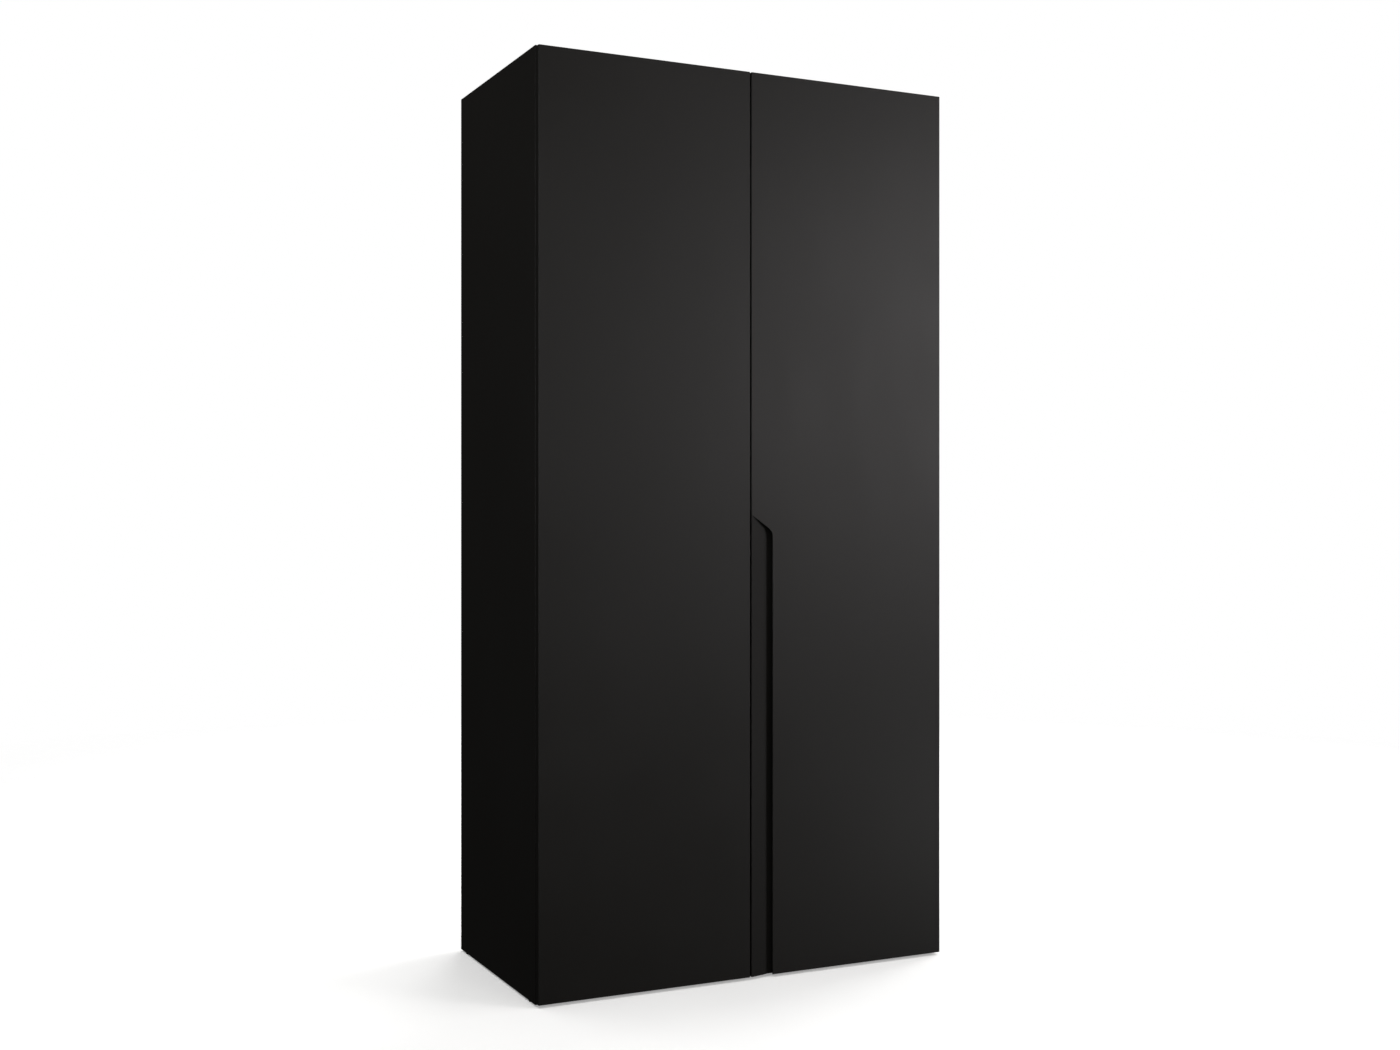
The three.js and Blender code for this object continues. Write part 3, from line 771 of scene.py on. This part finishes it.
def make_back_nails():
    """Nails into top and floor, and along the cover strip into the divider."""
    strip_low, strip_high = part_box("back_joint_strip")
    count = int((back_high.x - back_low.x) / NAIL_PITCH)
    places = []
    for z in (back_low.z + NAIL_INSET, back_high.z - NAIL_INSET):
        for i in range(count + 1):
            x = NAIL_PITCH * (i + NAIL_START)
            places.append(facing(REARWARDS, (x, back_high.y, z)))
            places.append(facing(REARWARDS, (-x, back_high.y, z)))
    for i in range(STRIP_NAILS):
        z = strip_low.z + NAIL_INSET + (strip_high.z - strip_low.z - 2.0 * NAIL_INSET) * i / (STRIP_NAILS - 1)
        places.append(facing(REARWARDS, (0.0, strip_high.y, z), STRIP_NAIL_SCALE))
    copies("back_nails", BACK_NAIL, places, "carcass", "hinge_steel")


def make_glides():
    nails = []
    for name in ("left_front", "left_back", "right_front", "right_back", "plinth_front", "plinth_back"):
        low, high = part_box("glide_" + name)
        x, y = (low.x + high.x) / 2.0, (low.y + high.y) / 2.0
        foot = Matrix.Translation((x, y, low.z))
        copies(f"glide_{name}_foot", GLIDE, [foot], "carcass", "black_plastic", "glide_" + name)
        nails.append(facing(DOWN, (x, y, low.z + GLIDE_NAIL_DEPTH)))
    copies("glide_nails", BACK_NAIL, nails, "carcass", "hinge_steel")


# ---------------------------------------------------------------------------------------------
# Clothes rail and wall angles

RAIL_WALL = 1.2 * MM
SOCKET_WALL = 2.0 * MM
SOCKET_PLAY = 0.3 * MM
SOCKET_PLATE = 3.0 * MM
SOCKET_SCREW_SCALE = 0.62
OVAL_STEPS = 20  # points round each half of the rail's section


def make_rail():
    low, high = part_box("clothes_rail")
    y, z = (low.y + high.y) / 2.0, (low.z + high.z) / 2.0
    thick, tall = high.y - low.y, high.z - low.z

    def oval(wide, long):
        return stadium(wide, long, y, z, OVAL_STEPS)

    tube = add_object("clothes_rail_tube", prism(oval(thick, tall), (low.x, high.x), "X"), CHROME)
    bore = oval(thick - 2.0 * RAIL_WALL, tall - 2.0 * RAIL_WALL)
    carve(tube, add_object("bore", prism(bore, (low.x - MM, high.x + MM), "X"), CHROME))
    smooth(soften(tube, 0.2 * MM))
    settle(tube, "carcass", "rail_chrome", "clothes_rail")

    grow = 2.0 * (SOCKET_PLAY + SOCKET_WALL)
    slack = 2.0 * SOCKET_PLAY
    for side, hand in SIDES.items():
        name = "rail_socket_" + side
        socket_low, socket_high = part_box(name)
        wall_x = socket_low.x if hand > 0 else socket_high.x
        mouth_x = socket_high.x if hand > 0 else socket_low.x
        plate_x = wall_x + hand * SOCKET_PLATE
        base_tall, base_thick = socket_high.z - socket_low.z, socket_high.y - socket_low.y
        base = prism(oval(base_thick, base_tall), sorted((wall_x, plate_x)), "X")
        bevel_edges(base, 0.8 * MM)
        socket = add_object(name + "_casting", base, CHROME)
        cradle = prism(oval(thick + grow, tall + grow), sorted((plate_x - hand * MM, mouth_x)), "X")
        bevel_edges(cradle, 0.5 * MM)
        carve(socket, add_object("cradle", cradle, CHROME), "UNION")
        hollow_x = sorted((plate_x, mouth_x + hand * MM))
        hollow = prism(oval(thick + slack, tall + slack), hollow_x, "X")
        carve(socket, add_object("hollow", hollow, CHROME))
        half = (thick + slack) / 2.0
        gate = box_mesh((hollow_x[0], y - half, z), (hollow_x[1], y + half, socket_high.z + MM))
        carve(socket, add_object("gate", gate, CHROME))
        smooth(socket)
        settle(socket, "carcass", "rail_chrome", name)
        reach = (base_tall + tall + grow) / 4.0
        inward = RIGHT if hand > 0 else LEFT
        screws = [
            facing(inward, (plate_x, y, z + step * reach), SOCKET_SCREW_SCALE) for step in (-1.0, 1.0)
        ]
        copies(name + "_screws", SCREW, screws, "carcass", "hinge_steel")


BRACKET_STEEL = 2.0 * MM
BRACKET_SLOT = (6.5 * MM, 15.0 * MM)
BRACKET_SCREW_REACH = 9.0 * MM
BRACKET_SCREW_PLACE = 0.45  # part of the way along the leg


def make_wall_brackets():
    for side in SIDES:
        name = "wall_bracket_" + side
        low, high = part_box(name)
        outline = rounded([
            (low.y, high.z, 0.0),
            (low.y, high.z - BRACKET_STEEL, 0.8 * MM),
            (high.y - BRACKET_STEEL, high.z - BRACKET_STEEL, 2.0 * MM),
            (high.y - BRACKET_STEEL, low.z, 0.8 * MM),
            (high.y, low.z, 0.0),
            (high.y, high.z, 1.5 * MM),
        ])
        bm = prism(outline, (low.x, high.x), "X")
        bevel_edges(bm, 0.3 * MM, 2, 50.0)
        angle = add_object(name + "_angle", bm, NICKEL)
        x = (low.x + high.x) / 2.0
        slot_z = (low.z + high.z - BRACKET_STEEL) / 2.0 - 2.0 * MM
        slot = [(x + b, slot_z + a) for a, b in stadium(*BRACKET_SLOT)]
        carve(angle, add_object("slot", prism(slot, (low.y, high.y + MM), "Y"), NICKEL))
        smooth(angle)
        settle(angle, "carcass", "hinge_steel", name)
        screw_y = low.y + (high.y - low.y) * BRACKET_SCREW_PLACE
        screws = [
            facing(DOWN, (x + step * BRACKET_SCREW_REACH, screw_y, high.z - BRACKET_STEEL), 0.9)
            for step in (-1.0, 1.0)
        ]
        copies(name + "_screws", SCREW, screws, "carcass", "hinge_steel")


# ---------------------------------------------------------------------------------------------
# Concealed hinges, drawn in millimetres for the left side: x runs inwards from the body's outer
# face, y towards the back from its front edge, z up from the hinge's middle

HINGE_CUP_CENTRE = 23.0
HINGE_FACE = -2.0  # inner face of the closed door
ARM_PIVOT = (31.0, -9.0)
CUP_PIVOT = (13.0, -4.4)
ARM_HALF_WIDTH = 7.5
ARM_STEEL = 1.5
ARM_SPINE = 31.0
ADJUSTING_SCREW_Y = 25.0
FIXING_SCREW_Y = 47.0
CUP_SCREW_REACH = 24.0
FLANGE_OFFSET = 5.5  # the cup's middle to the middle of its flange
PLATE_TOP = 18.3  # where the plate's screw heads sit
PLATE_MIDDLE = 37.0
PLATE_SCREW_REACH = 16.0
RIB_TOP = 29.6


def cup_pattern():
    """Pressed cup with a screw flange; its rim is notched for the link."""
    profile = [
        (0.0, -11.7), (15.9, -11.7), (17.0, -11.3), (17.5, -10.3), (17.5, 0.0), (18.1, 0.0),
        (18.2, 0.15), (18.2, 0.8), (17.95, 1.1), (17.5, 1.2), (16.9, 1.15), (16.5, 0.85),
        (16.4, 0.3), (16.4, -9.2), (16.1, -10.1), (15.4, -10.6), (14.6, -10.8), (0.0, -10.8),
    ]
    upright = facing(REARWARDS, (0.0, 0.0, 0.0))
    bm = turned(in_mm(profile), 64)
    bm.transform(upright)
    cup = add_object("cup", bm, NICKEL)
    flange = prism(in_mm(stadium(14.0, 66.0, FLANGE_OFFSET)), (0.0, 1.05 * MM), "Y")
    bevel_edges(flange, 0.3 * MM, 2)
    wing = add_object("wing", flange, NICKEL)
    mouth = turned(in_mm([(0.0, -2.0), (17.2, -2.0), (17.2, 3.0), (0.0, 3.0)]), 64)
    mouth.transform(upright)
    carve(wing, add_object("mouth", mouth, NICKEL))
    carve(cup, wing, "UNION")
    notch = box_mesh(Vector((-18.6, -3.0, -6.0)) * MM, Vector((-13.4, 2.0, 6.0)) * MM)
    carve(cup, add_object("notch", notch, NICKEL))
    return spent(cup)


def arm_pattern():
    """Folded steel channel; the link's pin is riveted through its nose."""
    outline = rounded([
        (19.0, 64.0, 1.5), (ARM_SPINE, 64.0, 2.5), (ARM_SPINE, 7.0, 8.0), (34.0, -3.0, 8.0),
        (34.0, -12.0, 2.95), (28.0, -12.0, 2.95), (27.0, -1.0, 6.0), (24.0, 8.0, 8.0), (19.0, 18.0, 6.0),
    ], 8)
    bm = prism(in_mm(outline), (-ARM_HALF_WIDTH * MM, ARM_HALF_WIDTH * MM))
    bevel_edges(bm, 0.6 * MM, 3, 50.0)
    arm = add_object("arm", bm, NICKEL)
    web = ARM_SPINE - ARM_STEEL
    hollow = [
        (0.0, 70.0), (web, 70.0), (web, 6.7), (32.4, -3.0), (32.4, -4.6), (38.0, -4.6), (38.0, -20.0),
        (0.0, -20.0),
    ]
    inside = (ARM_HALF_WIDTH - ARM_STEEL) * MM
    carve(arm, add_object("hollow", prism(in_mm(hollow), (-inside, inside)), NICKEL))
    screw_hole = prism(in_mm(circle(ADJUSTING_SCREW_Y, 0.0, 3.7)), (28.0 * MM, 33.0 * MM), "X")
    carve(arm, add_object("screw_hole", screw_hole, NICKEL))
    pin = prism(in_mm(circle(*ARM_PIVOT, 1.5, 24)), (-7.45 * MM, 7.45 * MM))
    carve(arm, add_object("pin", pin, NICKEL), "UNION")
    return spent(soften(arm, 0.15 * MM))


def plate_pattern():
    """Plate on the side panel, with the rib that the arm is screwed to."""
    bm = prism(in_mm(stadium(14.0, 52.0, PLATE_MIDDLE)), (16.0 * MM, 18.5 * MM), "X")
    bevel_edges(bm, 0.7 * MM)
    plate = add_object("plate", bm, NICKEL)
    rib = box_mesh(Vector((16.5, 14.0, -5.5)) * MM, Vector((29.5, 62.0, 5.5)) * MM, 1.0 * MM)
    carve(plate, add_object("rib", rib, NICKEL), "UNION")
    return spent(plate)


def link_pattern():
    """Bar with an eye on the arm's pin and a pin of its own at the cup."""
    arm_end, cup_end = Vector(ARM_PIVOT), Vector(CUP_PIVOT)
    across = (cup_end - arm_end).orthogonal().normalized() * 1.3
    bar = [arm_end + across, cup_end + across, cup_end - across, arm_end - across]
    width = (-5.0 * MM, 5.0 * MM)
    link = add_object("link", prism(in_mm([tuple(point) for point in bar]), width), NICKEL)
    carve(link, add_object("eye", prism(in_mm(circle(*ARM_PIVOT, 2.9, 32)), width), NICKEL), "UNION")
    carve(link, add_object("tip", prism(in_mm(circle(*CUP_PIVOT, 1.8, 24)), width), NICKEL), "UNION")
    carve(link, add_object("hole", prism(in_mm(circle(*ARM_PIVOT, 1.7, 32)), (-6.0 * MM, 6.0 * MM)), NICKEL))
    pin = prism(in_mm(circle(*CUP_PIVOT, 1.1, 20)), (-5.5 * MM, 5.5 * MM))
    carve(link, add_object("pin", pin, NICKEL), "UNION")
    return spent(soften(link, 0.12 * MM))


def make_hinges():
    cup, arm, plate, link = cup_pattern(), arm_pattern(), plate_pattern(), link_pattern()
    to_cup = Matrix.Translation(Vector((HINGE_CUP_CENTRE, HINGE_FACE, 0.0)) * MM)
    flange_x = HINGE_CUP_CENTRE + FLANGE_OFFSET
    cup_screws = [
        facing(REARWARDS, Vector((flange_x, HINGE_FACE - 0.3, step * CUP_SCREW_REACH)) * MM, 0.9)
        for step in (-1.0, 1.0)
    ]
    plate_screws = [
        facing(RIGHT, Vector((PLATE_TOP, PLATE_MIDDLE, step * PLATE_SCREW_REACH)) * MM, 0.95)
        for step in (-1.0, 1.0)
    ]
    arm_screws = [
        facing(RIGHT, Vector((RIB_TOP, ADJUSTING_SCREW_Y, 0.0)) * MM, 0.8),
        facing(RIGHT, Vector((ARM_SPINE, FIXING_SCREW_Y, 0.0)) * MM, 1.0),
    ]
    for side, hand in SIDES.items():
        for index in range(1, 5):
            low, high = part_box(f"{side}_hinge_cup_{index}")
            corner = Matrix.Translation((hand * body_low.x, body_low.y, (low.z + high.z) / 2.0))
            place = corner @ Matrix.Diagonal((hand, 1.0, 1.0, 1.0))
            kinds = {
                "plate": (plate, place, "carcass"),
                "arm": (arm, place, "carcass"),
                "link": (link, place, side + "_hinge_links"),
                "cup": (cup, place @ to_cup, side + "_door"),
            }
            for kind, (mesh, spot, body) in kinds.items():
                node = f"{side}_hinge_{kind}_{index}"
                copies(node + "_steel", mesh, [spot], body, "hinge_steel", node)
            door_screws = [place @ screw for screw in cup_screws]
            copies(f"{side}_hinge_cup_{index}_screws", SCREW, door_screws, side + "_door", "hinge_steel")
            body_screws = [place @ screw for screw in plate_screws + arm_screws]
            copies(f"{side}_hinge_plate_{index}_screws", SCREW, body_screws, "carcass", "hinge_steel")


# ---------------------------------------------------------------------------------------------
# Floor, light and camera

CAMERA_PLACE = (-1.7108, -3.5407, 1.0209)
CAMERA_TURN = 25.811  # degrees, from looking straight at the doors
CAMERA_LENS = 42.90
CAMERA_SHIFT = -0.0041
FLOOR_RADIUS = 7.0
FLOOR_FADE = (0.9, 4.9)  # distances from the middle between which the floor fades out
FLOOR_GLOW = 0.30

# The surroundings' light: the heights of view between which it grows, and its strength at both
WORLD_COLOUR = (1.0, 0.955, 0.865, 1.0)
WORLD_RAMP = (-0.5, 0.7, 0.004, 0.072)

WHITE, PINK_WHITE = (1.0, 1.0, 1.0), (1.0, 0.965, 0.975)
WARM, WARM_PALE = (1.0, 0.97, 0.92), (1.0, 0.97, 0.94)
# Place, aim, size, watts, colour, whether the light gives highlights, whether it lights matt surfaces
LIGHTS = {
    "key": ((3.25, -3.75, 1.86), (0.3, 0.0, 1.35), (1.4, 1.5), 63.0, PINK_WHITE, True, True),
    "low_fill": ((1.15, -1.1, 0.12), (0.45, -0.26, 0.25), (0.5, 0.5), 0.9, WHITE, True, True),
    "overhead": ((0.0, 0.0, 5.0), (0.0, 0.0, 0.0), (7.0, 7.0), 330.0, WHITE, False, True),
    "fill": ((0.2, -5.2, 1.6), (0.0, 0.0, 1.0), (2.4, 2.4), 60.0, WARM, False, True),
    "front_left": ((-2.9, -4.4, 1.9), (0.0, -0.2, 1.2), (1.6, 1.8), 40.0, WARM_PALE, True, False),
    "left_side": ((-4.1, -1.7, 1.9), (-0.5, 0.0, 1.2), (2.2, 2.2), 60.0, WHITE, True, False),
    "rear": ((2.0, 4.6, 2.0), (0.0, 0.2, 1.2), (2.0, 2.4), 110.0, WHITE, True, True),
    "right_side": ((4.2, 1.4, 1.9), (0.5, 0.0, 1.2), (1.6, 2.2), 90.0, WHITE, True, True),
}


def make_camera():
    data = bpy.data.cameras.new("camera")
    data.lens = CAMERA_LENS
    data.sensor_width = 36.0
    data.shift_y = CAMERA_SHIFT
    data.clip_end = 100.0
    camera = bpy.data.objects.new("camera", data)
    camera.location = CAMERA_PLACE
    camera.rotation_euler = (math.radians(90.0), 0.0, -math.radians(CAMERA_TURN))
    bpy.context.scene.collection.objects.link(camera)
    bpy.context.scene.camera = camera


def floor_material():
    """Pale floor that fades into the white surroundings."""
    s = Shader(
        "floor", Roughness=0.9, Specular_IOR_Level=0.0, Emission_Color=(1.0, 1.0, 1.0, 1.0),
        Emission_Strength=FLOOR_GLOW,
    )
    grain = s.noise(3.0, 5.0)
    s.colour(s.mix(s.spread(grain, 0.0, 1.0), (0.80, 0.80, 0.80), (0.84, 0.84, 0.835)))
    distance = s.node("ShaderNodeVectorMath", operation="LENGTH")
    s.link(s.place, distance.inputs[0])
    fade = s.spread(distance.outputs["Value"], 0.0, 1.0, *FLOOR_FADE)
    clear = s.node("ShaderNodeBsdfTransparent")
    mixed = s.node("ShaderNodeMixShader")
    s.link(fade, mixed.inputs["Fac"])
    s.link(s.bsdf.outputs["BSDF"], mixed.inputs[1])
    s.link(clear.outputs["BSDF"], mixed.inputs[2])
    output = next(n for n in s.tree.nodes if n.type == "OUTPUT_MATERIAL")
    s.link(mixed.outputs["Shader"], output.inputs["Surface"])
    return s.material


def make_floor():
    mesh = bpy.data.meshes.new("floor")
    bm = bmesh.new()
    bmesh.ops.create_circle(bm, cap_ends=True, segments=96, radius=FLOOR_RADIUS)
    bm.to_mesh(mesh)
    bm.free()
    mesh.materials.append(floor_material())
    floor = bpy.data.objects.new("floor", mesh)
    floor.location = (0.0, 0.0, cad_low.z - 0.0005)
    floor.visible_glossy = False
    floor.visible_diffuse = False
    bpy.context.scene.collection.objects.link(floor)


def make_light(name, place, target, size, power, colour, shines, fills):
    data = bpy.data.lights.new(name, "AREA")
    data.shape = "RECTANGLE"
    data.size, data.size_y = size
    data.energy = power
    data.color = colour
    light = bpy.data.objects.new(name, data)
    light.location = place
    light.rotation_euler = (Vector(target) - Vector(place)).to_track_quat("-Z", "Y").to_euler()
    light.visible_camera = False
    light.visible_glossy = shines
    light.visible_diffuse = fills
    bpy.context.scene.collection.objects.link(light)


def make_world():
    """White to the eye; the light that it gives is dim, and falls off towards the ground."""
    world = bpy.data.worlds.new("surroundings")
    world.use_nodes = True
    tree = world.node_tree
    tree.nodes.clear()
    place = tree.nodes.new("ShaderNodeTexCoord")
    split = tree.nodes.new("ShaderNodeSeparateXYZ")
    height = tree.nodes.new("ShaderNodeMapRange")
    set_range(height, *WORLD_RAMP)
    dim = tree.nodes.new("ShaderNodeBackground")
    dim.inputs["Color"].default_value = WORLD_COLOUR
    white = tree.nodes.new("ShaderNodeBackground")
    white.inputs["Color"].default_value = (1.0, 1.0, 1.0, 1.0)
    ray = tree.nodes.new("ShaderNodeLightPath")
    mixed = tree.nodes.new("ShaderNodeMixShader")
    output = tree.nodes.new("ShaderNodeOutputWorld")
    tree.links.new(place.outputs["Generated"], split.inputs["Vector"])
    tree.links.new(split.outputs["Z"], height.inputs["Value"])
    tree.links.new(height.outputs["Result"], dim.inputs["Strength"])
    tree.links.new(ray.outputs["Is Camera Ray"], mixed.inputs["Fac"])
    tree.links.new(dim.outputs["Background"], mixed.inputs[1])
    tree.links.new(white.outputs["Background"], mixed.inputs[2])
    tree.links.new(mixed.outputs["Shader"], output.inputs["Surface"])
    bpy.context.scene.world = world


make_boards()
make_back()
for side_name, side_hand in SIDES.items():
    make_door(side_name, side_hand)
make_shelf_pins()
make_cam_caps()
make_bumpers()
make_back_nails()
make_glides()
make_rail()
make_wall_brackets()
make_hinges()
NODES["back_joint_strip"].data.materials.clear()
NODES["back_joint_strip"].data.materials.append(PLASTIC)

make_camera()
make_floor()
make_world()
for light_name, settings in LIGHTS.items():
    make_light(light_name, *settings)
bpy.context.scene.view_settings.view_transform = "Standard"
